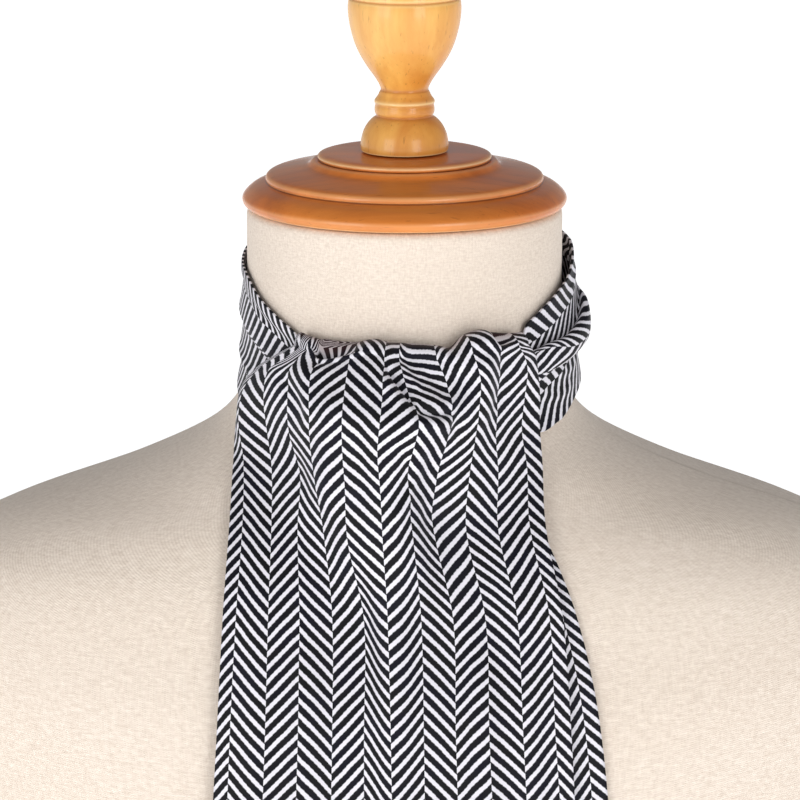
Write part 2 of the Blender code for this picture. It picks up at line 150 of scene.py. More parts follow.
# How far each line stands in front of the neck's axis
BLADE_FORWARD = (
    (55.5, 56.0, 57.0, 59.0, 62.0, 68.5, 72.5, 69.5, 69.5, 70.0, 64.0, 57.5, 54.0),
    (50.5, 52.0, 55.0, 59.0, 67.0, 74.0, 79.0, 75.0, 73.0, 72.0, 64.0, 55.0, 49.5),
    (43.0, 45.0, 50.0, 60.0, 70.0, 78.0, 84.0, 81.0, 76.0, 72.5, 64.0, 54.5, 50.0),
    (35.0, 39.5, 51.0, 62.5, 75.0, 84.0, 91.0, 91.5, 83.5, 74.0, 63.0, 53.5, 49.0),
    (33.0, 39.5, 51.0, 62.5, 74.0, 85.0, 92.5, 91.0, 81.0, 72.5, 63.5, 55.0, 50.0),
    (39.0, 46.0, 57.0, 67.0, 78.0, 88.0, 95.0, 89.5, 79.0, 72.0, 65.0, 58.5, 54.0),
    (52.0, 58.0, 66.5, 73.0, 79.5, 90.0, 98.0, 93.0, 80.5, 75.0, 70.0, 64.0, 59.0),
    (74.0, 77.0, 82.0, 85.5, 88.0, 91.5, 101.0, 95.5, 89.0, 86.0, 82.0, 78.0, 75.0),
    (90.0, 93.0, 98.0, 102.0, 105.0, 107.0, 112.0, 109.0, 105.5, 103.0, 98.5, 93.5, 90.5),
    (104.0, 107.0, 112.0, 116.0, 119.0, 121.0, 124.5, 122.5, 120.0, 117.0, 112.5, 107.5, 104.5),
    (106.0, 109.0, 113.5, 117.5, 120.0, 121.0, 122.5, 121.5, 120.0, 117.5, 113.5, 109.0, 106.0),
    (101.0, 104.0, 108.0, 112.0, 114.0, 115.0, 116.0, 115.5, 114.0, 112.0, 108.0, 104.0, 101.0),
)
CREST_COLUMNS = ("line", "height")
CREST = (
    (-5.5, 460.5),
    (-4, 460.0),
    (-2, 459.0),
    (-1, 459.5),
    (-0.4, 461.0),
    (0.2, 460.0),
    (1, 459.5),
    (2, 458.5),
    (2.4, 457.5),
    (3, 462.0),
    (3.5, 463.5),
    (4, 462.0),
    (5, 460.5),
    (5.5, 460.0),
)
FOLD_START = 5  # a fold swells over one part in so many of its length
FOLD_FINISH = 2  # and fades over one part in so many
# Long soft folds of the hanging part: line, top, bottom, half width in lines, rise
BLADE_FOLDS = (
    (-4.4, 408, 165, 0.75, 6.5),
    (-2.8, 372, 205, 0.65, 4.5),
    (2.9, 372, 185, 0.65, 5.0),
    (4.35, 412, 150, 0.75, 7.0),
    (0.3, 300, 140, 0.9, 3.0),
)
BAND_COLUMNS = ("angle", "top", "bottom", "stand", "depth", "overlap")
NECKBAND = (
    (99, 484.5, 438.0, 4.3, 0.5, 1.6),
    (120, 488.0, 440.5, 3.4, 0.7, 2.0),
    (150, 492.0, 444.5, 2.4, 0.8, 2.2),
    (180, 494.0, 447.0, 1.9, 0.8, 2.2),
    (210, 492.0, 444.5, 1.8, 0.8, 2.2),
    (235, 487.5, 440.0, 1.7, 0.75, 2.2),
    (252, 482.5, 436.0, 1.7, 0.7, 2.0),
)
LEFT_STRETCH = (
    (-107.7, 482.5, 436.0, 1.7, 0.7, 2.0),
    (-90, 479.0, 431.5, 1.7, 0.7, 2.0),
    (-75, 476.0, 427.5, 1.7, 0.7, 2.0),
    (-60, 469.0, 424.0, 2.0, 0.7, 1.8),
    (-48, 463.5, 420.5, 2.1, 0.6, 1.4),
    (-40.5, 459.5, 417.0, 2.3, 0.4, 0.6),
    (-35.5, 453.0, 416.0, 3.1, 0.3, 0.2),
    (-30, 451.0, 415.0, 3.1, 0.3, 0.2),
    (0, 449.5, 414.0, 3.1, 0.2, 0.0),
    (20, 449.5, 414.0, 3.1, 0.2, 0.0),
)
RIGHT_COLUMNS = ("angle", "top", "bottom", "stand", "share")
RIGHT_STRETCH = (
    (-30, 451.0, 413.0, 5.0, 0.0),
    (0, 451.0, 413.0, 5.0, 0.0),
    (25, 451.5, 415.0, 4.7, 0.05),
    (35, 452.5, 418.5, 3.4, 0.2),
    (42.5, 453.5, 420.5, 2.8, 0.42),
    (46.5, 462.0, 421.0, 2.6, 0.56),
    (50, 464.0, 421.0, 2.6, 0.64),
    (55, 466.5, 422.5, 2.6, 0.72),
    (60, 468.5, 424.0, 2.6, 0.82),
    (70, 472.0, 428.5, 2.7, 0.97),
    (77, 474.0, 431.5, 3.1, 1.0),
    (85, 478.5, 434.5, 3.9, 0.72),
    (92, 482.0, 436.5, 4.3, 0.35),
    (98.7, 484.5, 438.0, 4.3, 0.05),
)
# One section of the roll, from the top edge down: share of the height, how far out, and the weave's column
ROLL_COLUMNS = ("down", "out", "line")
ROLL_PROFILE = (
    (0.000, 0.0, 0.39),
    (0.090, 0.5, 0.64),
    (0.180, 1.0, 0.92),
    (0.270, 1.5, 1.22),
    (0.335, 2.6, 1.60),
    (0.315, 4.6, 2.00),
    (0.278, 6.2, 2.40),
    (0.300, 8.0, 2.75),
    (0.380, 8.9, 3.15),
    (0.480, 8.5, 3.50),
    (0.570, 7.0, 3.90),
    (0.595, 5.2, 4.10),
    (0.560, 3.6, 4.30),
    (0.575, 2.1, 4.50),
    (0.650, 1.6, 4.80),
    (0.780, 2.2, 5.20),
    (0.890, 2.7, 5.55),
    (1.000, 3.0, 5.90),
)
# Rows of the section where each edge of the roll starts, is whole, starts to end and ends
ROLL_UPPER_EDGE = (3, 5.5, 8, 11)
ROLL_LOWER_EDGE = (8, 11, 13, 16)
ROLL_TURN_ROWS = (5, 7, 10, 12)  # and the same for the turned weave below
# How far the roll's upper and lower edge are raised round the neck
ROLL_RAISE_COLUMNS = ("angle", "upper", "lower")
ROLL_RAISE = (
    (46, 2.5, 3.0),
    (52, 1.0, 3.5),
    (56, -0.5, 3.5),
    (65, -3.0, 3.0),
    (75, -2.5, 2.0),
    (85, -1.0, 1.0),
    (98.7, 0.0, 0.0),
)
# How far the weave is turned forward over the roll
ROLL_TURN_COLUMNS = ("angle", "lines")
ROLL_TURN = (
    (46, 0.45),
    (55, 0.20),
    (65, -0.11),
    (75, -0.31),
    (90, -0.35),
)
UNDER_COLUMNS = ("height", "middle", "half")
UNDER_BLADE = (
    (410, 2, 38),
    (390, 4, 47),
    (360, 7, 57),
    (320, 9, 64),
    (260, 10, 68),
    (160, 10, 70),
    (100, 10, 70),
)
# Which line of the weave shows down the bands, as far as the pleat where the next column is hidden
BAND_WEAVE_COLUMNS = ("down", "line")
BAND_WEAVE = (
    (0.00, 0.30),
    (0.205, 1.00),
    (0.50, 2.00),
)
BAND_PLEAT = 0.50
LOWER_BAND_START = 3  # the line below that pleat
LOWER_BAND_LINES = 3.0  # columns in one whole height below it, each followed by a hidden one
# The left stretch is gathered along its length from this angle forward, by this share
GATHER_START = -100
GATHER = 0.3

# Turned wood, down the outer side: radius and height above the cap's base
CAP_PROFILE = (
    (0, 20.9),
    (28.5, 20.9),
    (32.4, 20.5),
    (33.6, 19.7),
    (33.4, 18.7),
    (32.6, 17.9),
    (34.4, 18.3),
    (35.7, 17.9),
    (36.8, 16.4),
    (38.5, 15.5),
    (50.5, 13.4),
    (52.8, 12.6),
    (53.6, 11.6),
    (53.5, 10.3),
    (53.0, 9.8),
    (55.0, 9.4),
    (58.5, 8.1),
    (61.0, 6.1),
    (62.4, 4.4),
    (62.7, 3.0),
    (62.0, 1.3),
    (60.0, 0.0),
    (0, 0.0),
)
FINIAL_PROFILE = (
    (0, 115.0),
    (4.2, 114.6),
    (7.6, 112.9),
    (9.4, 110.4),
    (9.6, 108.2),
    (9.1, 106.3),
    (10.6, 103.8),
    (14.4, 99.2),
    (18.0, 93.0),
    (20.4, 87.0),
    (21.4, 81.4),
    (20.9, 80.6),
    (21.6, 79.8),
    (21.9, 76.0),
    (21.1, 69.5),
    (18.8, 61.6),
    (15.1, 55.0),
    (10.9, 49.3),
    (8.9, 45.5),
    (9.7, 44.3),
    (10.3, 42.8),
    (11.9, 40.8),
    (11.2, 39.6),
    (11.6, 38.2),
    (11.5, 36.3),
    (10.7, 35.1),
    (12.6, 34.0),
    (14.7, 31.6),
    (16.3, 28.4),
    (17.0, 24.6),
    (16.9, 22.2),
    (16.4, 21.2),
    (0, 21.2),
)

# How the grain is stretched along each axis, and the wood's deep, middle and pale shades, painted edge
# highlight and painted groove shade
CAP_GRAIN = (0.14, 1.0, 1.0)
CAP_SHADES = (
    (182, 92, 26),
    (224, 124, 44),
    (236, 152, 68),
    (254, 220, 164),
    (96, 44, 16),
)
FINIAL_GRAIN = (1.0, 1.0, 0.14)
FINIAL_SHADES = (
    (206, 124, 42),
    (241, 180, 86),
    (251, 210, 130),
    (253, 222, 160),
    (176, 100, 36),
)
# Wood gets painted shade in hollows and a painted highlight on edges where its outline bends more than this
# between rows, in radians
MARKED_BEND = 0.12
MARK_STRENGTH = 3
MOST_GROOVE_SHADE = 0.7
MOST_EDGE_HIGHLIGHT = 0.8
CORNER_CUT = 0.25  # share of each stretch cut off at a profile's corners

# The form's rings: as far as the shoulders, closer ones above them, and those of its rounded edges
LOWER_RINGS = 60
LOWER_RINGS_TOP = 340
UPPER_RINGS = 70
UPPER_RINGS_START = 343
EDGE_RINGS = 5
FORM_EDGE = 2.5
MERGE_WITHIN = 0.00001  # metres
BAKE_MARGIN = 0.01

# Lights: name, place and size in metres, and watts
SOFT_BOXES = (
    ("soft_box_left", (-1.35, -1.5, 0.7), (1.0, 1.3), 14),
    ("soft_box_right", (1.05, -1.75, 0.7), (0.8, 1.3), 13.5),
)
LIGHTS_FACE = (0, 0, 0.46)
FLOOR_HALF = 60  # metres
# The sky is white at the horizon and dimmest from this far up
SKY_DIMMEST_FROM = 0.7
SKY_DIMMEST = 0.45
SKY_STRENGTH = 0.5

# At this height the weft lies level, so each line's length of cloth is counted down and up from here
WEFT_HEIGHT = 320.0
CREST_BUNCH = 2  # a bunch as near the crest as this keeps its slip on the far side
# Where the weft is pulled down the cloth: line, distance from the crest, half size each way, slip
BUNCHES = (
    (1.1, 0, 0.8, 18, -13.0),
    (5.0, 1, 0.8, 6, -13.0),
    (3.5, 22, 0.4, 10, -2.0),
    (-0.5, 110, 0.4, 24, -2.0),
    (0.5, 110, 0.4, 40, -1.5),
)
# Where the lines of the weave are pulled sideways: the same places and half sizes, and how many columns
PULLS = (
    (0.9, 8.0, 0.4, 14.0, 0.18),
    (1.95, 2.0, 0.35, 9.0, 0.12),
    (0.0, 4.0, 0.3, 8.0, -0.07),
)

# Where the fold over the band stands open, its back and front edge parted by a hollow: the lines where
# it opens, is widest and closes, and its share of the depth
POCKETS = (
    (-2.65, -2.1, -0.45, 1.0),
    (3.7, 4.05, 5.35, 0.45),
)
# The cloth's way over the crest at a pocket: share of the arc, reach from its back to its front, and rise
POCKET_COLUMNS = ("share", "reach", "rise")
POCKET_PROFILE = (
    (0.00, 0.00, 0.0),
    (0.15, 0.06, 3.0),
    (0.30, 0.22, 4.0),
    (0.40, 0.36, 3.1),
    (0.50, 0.43, 0.0),
    (0.60, 0.47, -3.0),
    (0.70, 0.60, -4.6),
    (0.85, 0.88, -2.6),
    (0.93, 0.97, -2.2),
    (1.00, 1.00, -3.6),
)
POCKET_FADE = 6.0  # how far down the cloth the front edge's drop fades out
# The weave in the left pocket: the share of the arc where its back edge ends, the blend on both sides of
# that, the share where its hollow ends, and the line shown on each
RIDGE_END = 0.42
RIDGE_BLEND = 0.04
HOLLOW_END = 0.86
RIDGE_LINE = -3.5
HOLLOW_LINE = -1.5
RIDGE_WEAVE = 85.0  # length of cloth gathered across the back edge, per whole arc
RIDGE_SLANT = 0.12  # and for each millimetre across the figure
HOLLOW_WEAVE = 1.43  # length of cloth along the hollow for each millimetre across the figure
HOLLOW_SLANT = 0.6  # and for each millimetre up
POCKET_MIDDLE = (-24.0, 455.0)  # across and height, where both are counted from
# The blade is darkened and reddened by painted shade as far as here from the crest, fading out over this
PAINTED_SHADE_END = -1.0
PAINTED_SHADE_FADE = 4.5

CREASE_SWELL = 4  # a crease swells and fades over one part in so many of its length
CREASE_END = 0.15  # and how far along that swell its ends are
# Creases of the blade on top, each a curve through three points of the front view (across, height),
# with its half width, and how far it rises (a trough is below zero)
CREASES = (
    (-6.5, 453.5, -1.5, 447, 4, 440, 1.2, -2.2),
    (-9, 450.5, -5, 445.5, 1.5, 438.5, 2.2, 1.5),
    (-2, 453.5, 1.5, 449, 5.5, 444.5, 1.4, 1.2),
    (-8.5, 455.5, -5, 451, -2, 446.5, 1.0, -0.8),
    (4, 440.5, 11, 438, 19, 437, 1.8, -2.8),
    (3, 435.5, 10.5, 434, 17.5, 433.5, 2.4, 1.5),
    (7, 451, 12.5, 446.5, 16.5, 441.5, 2.6, -1.2),
    (20, 452, 21, 440, 18, 424, 2.6, -1.7),
    (29.5, 456, 30.5, 444, 27.5, 426, 3.0, 1.3),
    (36.5, 457, 37, 446, 33.5, 432, 2.4, -1.3),
    (-48, 446, -42, 440, -36.5, 428, 3.0, -1.3),
    (-38, 452, -36.5, 440, -38, 424, 2.6, 1.0),
    (-4, 428, 1.5, 418, 4, 404, 3.0, -1.4),
    (-26, 446, -29, 424, -27, 396, 4.0, 1.2),
    (-16, 446, -17, 428, -14, 402, 3.4, -1.2),
    (5, 418, 0.5, 406, -5, 398, 2.4, 1.4),
    (12, 424, 9, 410, 11.5, 388, 3.2, -1.4),
    (-34, 392, -38, 330, -33, 262, 5.0, 1.2),
    (-8, 372, -3, 318, -10, 236, 5.5, 0.9),
    (24, 366, 28, 304, 21, 222, 5.0, 1.1),
    (47, 352, 42, 296, 48, 226, 4.5, 0.8),
    (-54, 300, -47, 244, -51, 178, 4.5, 0.9),
    (7, 228, 13, 192, 6, 148, 5.0, 0.8),
)
UNDER_CREASES = (
    (-40, 328, -35, 262, -42, 186, 6.0, 0.5),
    (14, 344, 20, 268, 11, 168, 6.5, 0.5),
    (58, 302, 52, 236, 59, 160, 5.0, 0.5),
)
# The same on the bands, laid out flat: distance round the neck from the front, and height
NECKBAND_CREASES = (
    (118, 469, 148, 475, 184, 473, 2.0, 0.6),
    (150, 454, 178, 459, 207, 457, 2.4, 0.5),
    (196, 481, 226, 478, 264, 469, 2.0, 0.6),
    (216, 462, 241, 459, 272, 451, 1.8, 0.5),
)
LEFT_CREASES = (
    (-112, 463, -95, 458, -74, 451, 1.8, 0.6),
    (-100, 447, -84, 442, -66, 437, 1.8, 0.6),
    (-86, 471, -73, 465, -60, 457, 1.5, 0.5),
)
RIGHT_CREASES = (
    (54, 438, 67, 432, 82, 436, 2.0, 0.7),
    (66, 442, 80, 440, 98, 446, 1.6, 0.6),
    (84, 468, 94, 472, 104, 477, 1.5, 0.5),
)


def column(rows, names, name):
    """One named column of a table."""
    place = names.index(name)
    return [row[place] for row in rows]


def smooth(x, keys, values):
    """A smooth curve through the keys, held level beyond both ends. A value may be an array as long as x."""
    x = np.asarray(x, float)
    keys = np.asarray(keys, float)
    values = np.asarray(values, float).reshape(len(keys), -1)
    if keys[0] > keys[-1]:
        keys = keys[::-1]
        values = values[::-1]
    order = np.arange(len(keys))
    before = np.maximum(order - 1, 0)
    after = np.minimum(order + 1, len(keys) - 1)
    slopes = (values[after] - values[before]) / (keys[after] - keys[before])[:, None]
    flat = x.ravel()
    i = np.clip(np.searchsorted(keys, flat, side="right") - 1, 0, len(keys) - 2)
    place = np.arange(flat.size) if values.shape[1] > 1 else 0
    step = keys[i + 1] - keys[i]
    t = np.clip((flat - keys[i]) / step, 0, 1)
    start = (2 * t**3 - 3 * t**2 + 1) * values[i, place] + (t**3 - 2 * t**2 + t) * step * slopes[i, place]
    end = (3 * t**2 - 2 * t**3) * values[i + 1, place] + (t**3 - t**2) * step * slopes[i + 1, place]
    return (start + end).reshape(x.shape)


def ease(t):
    """0 to 1 with level ends."""
    t = np.clip(t, 0.0, 1.0)
    return t * t * (3 - 2 * t)


def within(place, rows):
    """1 on the middle rows of a stretch, easing to 0 at its first and last row."""
    starts, whole, ending, ends = rows
    return ease((place - starts) / (whole - starts)) * ease((ends - place) / (ends - ending))


def read(rows, names, key, x, name):
    """A named column at x, read along the key column."""
    return smooth(x, column(rows, names, key), column(rows, names, name))


def form_size(height, name):
    return read(FORM_SECTIONS, FORM_COLUMNS, "height", height, name)


def form_forward(across, height):
    """How far the form's chest stands in front of the neck's axis."""
    share = np.minimum(np.abs(across) / form_size(height, "half"), 0.999)
    return form_size(height, "front") * np.sqrt(1 - share * share)


def form_radius(angle, height):
    """Distance from the neck's axis to the form's skin, at an angle from the front."""
    depth = np.where(np.cos(angle) > 0, form_size(height, "front"), form_size(height, "back"))
    return 1 / np.hypot(np.sin(angle) / form_size(height, "half"), np.cos(angle) / depth)


def at_least(value, floor, blend=2.5):
    """The larger of two lengths, rounded where they meet."""
    gap = value - floor
    return floor + 0.5 * (gap + np.sqrt(gap * gap + blend * blend))


def round_neck(angle, radius, height):
    return np.stack((radius * np.sin(angle), -radius * np.cos(angle), height), axis=-1)


def blade_at(line, height, table):
    """A table of the blade's lines at any line and height."""
    flat = height.ravel()
    across = [smooth(flat, BLADE_HEIGHTS, column(table, BLADE_LINES, name)) for name in BLADE_LINES]
    return smooth(line.ravel(), BLADE_LINES, across).reshape(height.shape)


def fold_rise(line, height):
    """Forward swell of the long soft folds at a point of the hanging cloth."""
    rise = np.zeros_like(height)
    for fold_line, top, bottom, half, peak in BLADE_FOLDS:
        aside = (line - fold_line) / half
        along = (top - height) / (top - bottom)
        swell = np.exp(-aside * aside) * ease(along * FOLD_START) * ease((1 - along) * FOLD_FINISH)
        rise += peak * np.where((along > 0) & (along < 1), swell, 0)
    return rise


def blade_end(line, length):
    """Length of a line of the blade, shorter towards the sides of its point."""
    return length - np.abs(line) * COLUMN / POINT_SLOPE


def pocket_depth(line):
    """How far the pockets stand open at a line."""
    total = np.zeros_like(line)
    for opens, widest, closes, depth in POCKETS:
        rising = ease((line - opens) / (widest - opens))
        total += depth * rising * ease((closes - line) / (closes - widest))
    return total


def front_blade_points():
    """The blade on top: up inside the band, over the crest, and down the chest to its point."""
    line = np.linspace(-HALF_BLADE, HALF_BLADE, BLADE_STEPS + 1)
    crest = read(CREST, CREST_COLUMNS, "line", line, "height") - CREST_HEIGHT
    x = blade_at(line, crest, BLADE_ACROSS)
    forward = blade_at(line, crest, BLADE_FORWARD)
    angle = np.arctan2(x, forward)
    outer = np.hypot(x, forward)
    rows = []
    for share in np.linspace(0, 1, INNER_ROWS, endpoint=False):
        height = INNER_LEG_BOTTOM + (crest - INNER_LEG_BOTTOM) * share
        radius = np.maximum(INNER_LEG_RADIUS, form_radius(angle, height) + WALL)
        rows.append(round_neck(angle, radius, height))
    gap = outer - INNER_LEG_RADIUS
    pocket = pocket_depth(line)
    for share in np.linspace(0, 1, ARC_ROWS, endpoint=False):
        turn = math.pi * share
        reach = read(POCKET_PROFILE, POCKET_COLUMNS, "share", share, "reach")
        rise = read(POCKET_PROFILE, POCKET_COLUMNS, "share", share, "rise")
        reach = (1 - pocket) * (1 - math.cos(turn)) / 2 + pocket * reach
        rise = (1 - pocket) * CREST_HEIGHT * math.sin(turn) + pocket * rise
        rows.append(round_neck(angle, INNER_LEG_RADIUS + gap * reach, crest + rise))
    fall = np.linspace(0, 1, HANG_ROWS + 1)[:, None]
    end = BLADE_HEIGHTS[0] - blade_end(line, FRONT_BLADE_LENGTH)
    spaced = EVEN_SHARE * fall + (1 - EVEN_SHARE) * fall**SPACING_POWER
    height = crest + (end - crest) * spaced
    lines = np.broadcast_to(line, height.shape)
    x = blade_at(lines, height, BLADE_ACROSS)
    forward = blade_at(lines, height, BLADE_FORWARD) + fold_rise(lines, height)
    lift = ease((LIFT_TOP - height) / LIFT_FADE)
    floor = form_forward(x, height) + OVER_CLEARANCE
    forward += lift * (at_least(forward, floor) - forward)
    drop = POCKET_PROFILE[-1][-1]
    height = height + pocket * drop * np.exp(-(crest - height) / POCKET_FADE)
    hang = np.stack((x, -forward, height), axis=-1)
    return np.concatenate((np.array(rows), hang)), line


def blade_weave(points, line):
    """Line and length of cloth at each point of the blade, its weft level low down and bunched in places."""
    crest = distance_down(points, CREST_ROW)
    height = points[..., 2]
    low = np.array([np.interp(-WEFT_HEIGHT, -height[:, k], crest[:, k]) for k in range(len(line))])
    middle = low[len(line) // 2]
    along = crest - low + middle
    for bunch_line, distance, half_line, half_distance, slip in BUNCHES:
        aside = (line - bunch_line) / half_line
        beyond = crest - distance if distance > CREST_BUNCH else np.maximum(crest - distance, 0)
        along += slip * np.exp(-aside * aside - (beyond / half_distance) ** 2)
    pulled = np.broadcast_to(line, crest.shape)
    for pull_line, distance, half_line, half_distance, lines in PULLS:
        aside = (line - pull_line) / half_line
        beyond = (crest - distance) / half_distance
        pulled = pulled + lines * np.exp(-aside * aside - beyond**2)
    share = (np.arange(len(points))[:, None] - INNER_ROWS) / ARC_ROWS
    behind = ease((RIDGE_END + RIDGE_BLEND - share) / (2 * RIDGE_BLEND))
    left_pocket = pocket_depth(line) * (line < 0)
    ridge = left_pocket * behind
    hollow = left_pocket * (1 - behind) * (share < HOLLOW_END)
    across = points[..., 0] - POCKET_MIDDLE[0]
    up = height - POCKET_MIDDLE[1]
    along = along + ridge * (RIDGE_WEAVE * (share - RIDGE_END) + RIDGE_SLANT * across - along)
    along = along + hollow * (HOLLOW_WEAVE * across + HOLLOW_SLANT * up - along)
    return along, pulled + ridge * (RIDGE_LINE - pulled) + hollow * (HOLLOW_LINE - pulled)


def under_blade_points():
    """The other end of the strip, lying on the chest below the crossing."""
    across = np.linspace(-1, 1, UNDER_STEPS + 1)
    down = np.linspace(0, 1, UNDER_ROWS + 1)[:, None]
    line = across * HALF_BLADE
    height = UNDER_BLADE_TOP - blade_end(line, UNDER_BLADE_LENGTH) * down
    half = read(UNDER_BLADE, UNDER_COLUMNS, "height", height, "half")
    middle = read(UNDER_BLADE, UNDER_COLUMNS, "height", height, "middle")
    x = middle + across * half
    rise = UNDER_RISE * ease((height - UNDER_RISE_START) / UNDER_RISE_FADE)
    forward = form_forward(x, height) + FORM_CLEARANCE + rise
    return np.stack((x, -forward, height), axis=-1), line


def band_points(rows, around_steps):
    """A band round the neck whose folds overlap like shingles, facing down."""
    degrees = np.linspace(rows[0][0], rows[-1][0], around_steps + 1)
    angle = np.radians(degrees)
    down = np.linspace(0, 1, BAND_ROWS + 1)[:, None]
    top = read(rows, BAND_COLUMNS, "angle", degrees, "top")
    bottom = read(rows, BAND_COLUMNS, "angle", degrees, "bottom")
    depth = read(rows, BAND_COLUMNS, "angle", degrees, "depth")
    overlap = read(rows, BAND_COLUMNS, "angle", degrees, "overlap")
    turn = 2 * math.pi * BAND_PLEATS * down - math.pi / 2
    swing = -np.sin(turn) * (1 - np.abs(2 * down - 1) ** PLEAT_END_POWER)
    height = top - (top - bottom) * down - overlap * swing
    stand = read(rows, BAND_COLUMNS, "angle", degrees, "stand") + depth * swing
    radius = np.maximum(NECK_RADIUS, form_radius(angle, height)) + stand
    angle = np.broadcast_to(angle, height.shape)
    down = np.broadcast_to(down, height.shape)
    upper = read(BAND_WEAVE, BAND_WEAVE_COLUMNS, "down", down, "line")
    lower = LOWER_BAND_LINES * (down - BAND_PLEAT)
    line = np.where(down < BAND_PLEAT, upper, LOWER_BAND_START + lower + np.floor(lower))
    return round_neck(angle, radius, height), line, angle


def right_stretch_points():
    """The strip's other stretch: an upper panel, a roll folded outwards over it, and a panel below."""
    degrees = np.linspace(RIGHT_STRETCH[0][0], RIGHT_STRETCH[-1][0], RIGHT_STEPS + 1)
    angle = np.radians(degrees)
    down = np.linspace(0, 1, RIGHT_ROWS + 1)[:, None]
    top = read(RIGHT_STRETCH, RIGHT_COLUMNS, "angle", degrees, "top")
    bottom = read(RIGHT_STRETCH, RIGHT_COLUMNS, "angle", degrees, "bottom")
    stand = read(RIGHT_STRETCH, RIGHT_COLUMNS, "angle", degrees, "stand")
    share = read(RIGHT_STRETCH, RIGHT_COLUMNS, "angle", degrees, "share")
    steps = np.arange(len(ROLL_PROFILE))
    place = down * steps[-1]
    low = smooth(place, steps, column(ROLL_PROFILE, ROLL_COLUMNS, "down"))
    out = smooth(place, steps, column(ROLL_PROFILE, ROLL_COLUMNS, "out"))
    folded = ease(share * ROLL_OPENING)
    low = down + (low - down) * folded
    upper = within(place, ROLL_UPPER_EDGE)
    lower = within(place, ROLL_LOWER_EDGE)
    raised = upper * read(ROLL_RAISE, ROLL_RAISE_COLUMNS, "angle", degrees, "upper")
    raised = raised + lower * read(ROLL_RAISE, ROLL_RAISE_COLUMNS, "angle", degrees, "lower")
    height = top - (top - bottom) * low + raised * folded
    radius = np.maximum(NECK_RADIUS, form_radius(angle, height)) + stand + out * share
    angle = np.broadcast_to(angle, height.shape)
    line = smooth(place, steps, column(ROLL_PROFILE, ROLL_COLUMNS, "line"))
    turn = read(ROLL_TURN, ROLL_TURN_COLUMNS, "angle", degrees, "lines")
    line = line + turn * within(place, ROLL_TURN_ROWS)
    return round_neck(angle, radius, height), line, angle


def outward(points):
    """The unit normals of a grid of points, away from the neck's axis."""
    across = np.gradient(points, axis=1)
    down = np.gradient(points, axis=0)
    normal = np.cross(down, across)
    return normal / np.maximum(np.linalg.norm(normal, axis=-1, keepdims=True), 1e-9)


def crease_rise(seen, creases):
    """How far the creases lift each point, given as places on the view they are drawn in."""
    total = np.zeros(seen.shape[:-1])
    for x1, z1, x2, z2, x3, z3, half, rise in creases:
        ends = np.array((x1, z1)), np.array((x3, z3))
        pull = 2 * np.array((x2, z2)) - (ends[0] + ends[1]) / 2
        t = np.linspace(0, 1, CREASE_STEPS + 1)[:, None]
        curve = (1 - t) ** 2 * ends[0] + 2 * t * (1 - t) * pull + t**2 * ends[1]
        nearest = np.full(total.shape, np.inf)
        along = np.zeros(total.shape)
        for k in range(CREASE_STEPS):
            step = curve[k + 1] - curve[k]
            share = np.clip((seen - curve[k]) @ step / (step @ step), 0, 1)
            gap = np.linalg.norm(seen - curve[k] - share[..., None] * step, axis=-1)
            closer = gap < nearest
            nearest = np.where(closer, gap, nearest)
            along = np.where(closer, (k + share) / CREASE_STEPS, along)
        swell = ease(along * CREASE_SWELL + CREASE_END)
        fade = swell * ease((1 - along) * CREASE_SWELL + CREASE_END)
        total += rise * fade * np.exp(-((nearest / half) ** 2))
    return total


def creased_band(points, angle, creases):
    """A band with its creases, drawn on the band laid out flat."""
    flat = np.stack((angle * (NECK_RADIUS + WEAVE_OFF_NECK), points[..., 2]), axis=-1)
    return points + crease_rise(flat, creases)[..., None] * outward(points)


def distance_down(points, start):
    """Length of cloth from the start row to each point, along its lengthwise line."""
    steps = np.linalg.norm(np.diff(points, axis=0), axis=-1)
    total = np.concatenate((np.zeros((1, points.shape[1])), np.cumsum(steps, axis=0)))
    return total - total[start]


def material(name):
    """A new material with its shader, and a function that adds a node to it."""
    made = bpy.data.materials.new(name)
    made.use_nodes = True
    tree = made.node_tree
    shader = tree.nodes["Principled BSDF"]

    def add(kind, inputs=(), **settings):
        node = tree.nodes.new("ShaderNode" + kind)
        for key, value in settings.items():
            setattr(node, key, value)
        for key, value in dict(inputs).items():
            if isinstance(value, bpy.types.NodeSocket):
                tree.links.new(value, node.inputs[key])
            else:
                node.inputs[key].default_value = value
        return node

    return made, shader, add, tree.links.new


def calculate(add, operation, *values):
    """A Math node's result."""
    return add("Math", enumerate(values), operation=operation).outputs[0]


def blend_colours(add, factor, first, second, blend="MIX"):
    """A Mix node's colour; its colour sockets are the inputs 6 and 7 and the output 2."""
    node = add("Mix", {0: factor, 6: first, 7: second}, data_type="RGBA", blend_type=blend)
    return node.outputs[2]


def noise(add, place, scale, detail, **more):
    """A Noise Texture's value."""
    return add("TexNoise", {"Vector": place, "Scale": scale, "Detail": detail, **more}).outputs[0]


def remap(add, value, low=0.0, high=1.0, start=0.0, end=1.0):
    """A value's place between low and high, carried to start and end."""
    return add("MapRange", {0: value, 1: low, 2: high, 3: start, 4: end}).outputs[0]


def colour(red, green, blue):
    """A colour as it is seen, from 0 to 255, in the renderer's linear values."""
    linear = [((c / 255 + 0.055) / 1.055) ** 2.4 if c > 10 else c / 255 / 12.92 for c in (red, green, blue)]
    return (*linear, 1.0)


